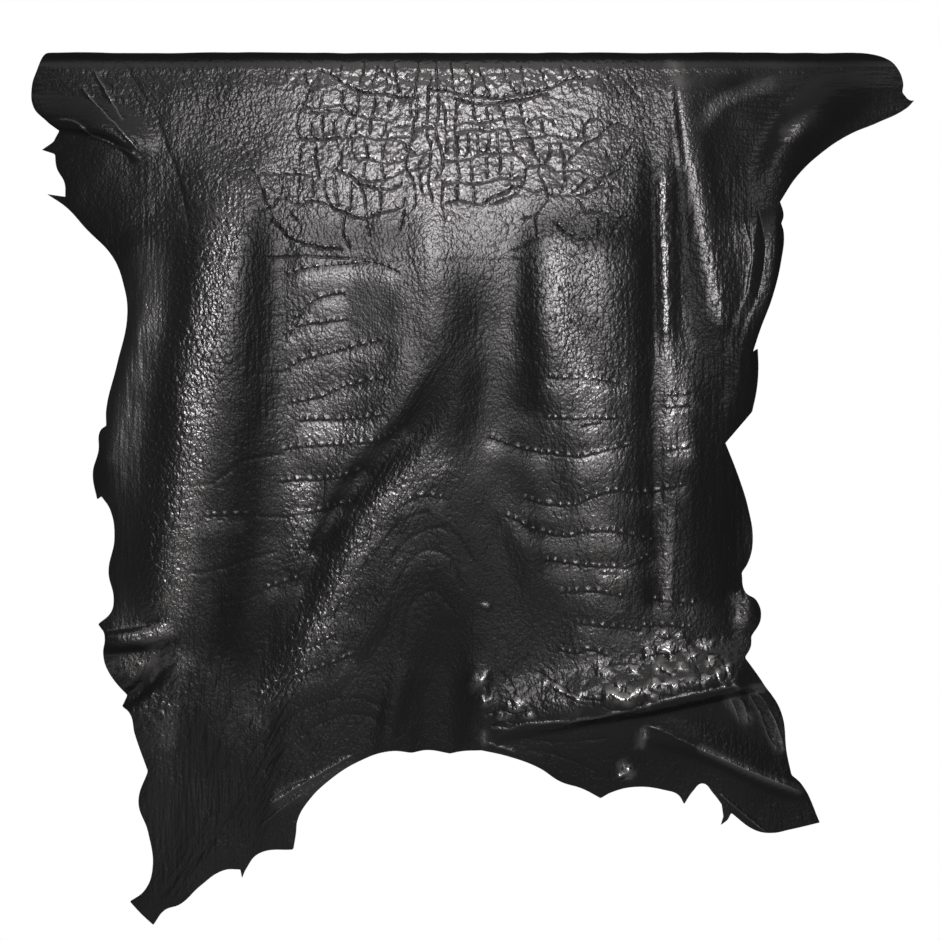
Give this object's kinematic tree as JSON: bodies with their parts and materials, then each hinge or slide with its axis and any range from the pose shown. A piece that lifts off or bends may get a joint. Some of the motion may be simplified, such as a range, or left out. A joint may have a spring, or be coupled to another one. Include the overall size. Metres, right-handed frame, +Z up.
{
  "type": "leather hide",
  "caption": "Whole tanned black leather hide with its ragged natural outline, hanging folded over at the neck so that a straight rail passes under the fold.",
  "frame": {"origin": "where the flesh side rests on the crest of the rail, above the hide's centre of mass to within 20 mm", "axes": "+X along the rail to the viewer's right, +Y from the grain side of the front flap to the back, +Z up"},
  "size_m": [1.0153, 0.0882, 1.0051],
  "materials": {
    "grain_leather": "glossy pebbled grain, black, with a brown raw edge and a grey-brown suede flesh side"
  },
  "bodies": {
    "root": {"hide": "grain_leather"}
  },
  "joints": []
}
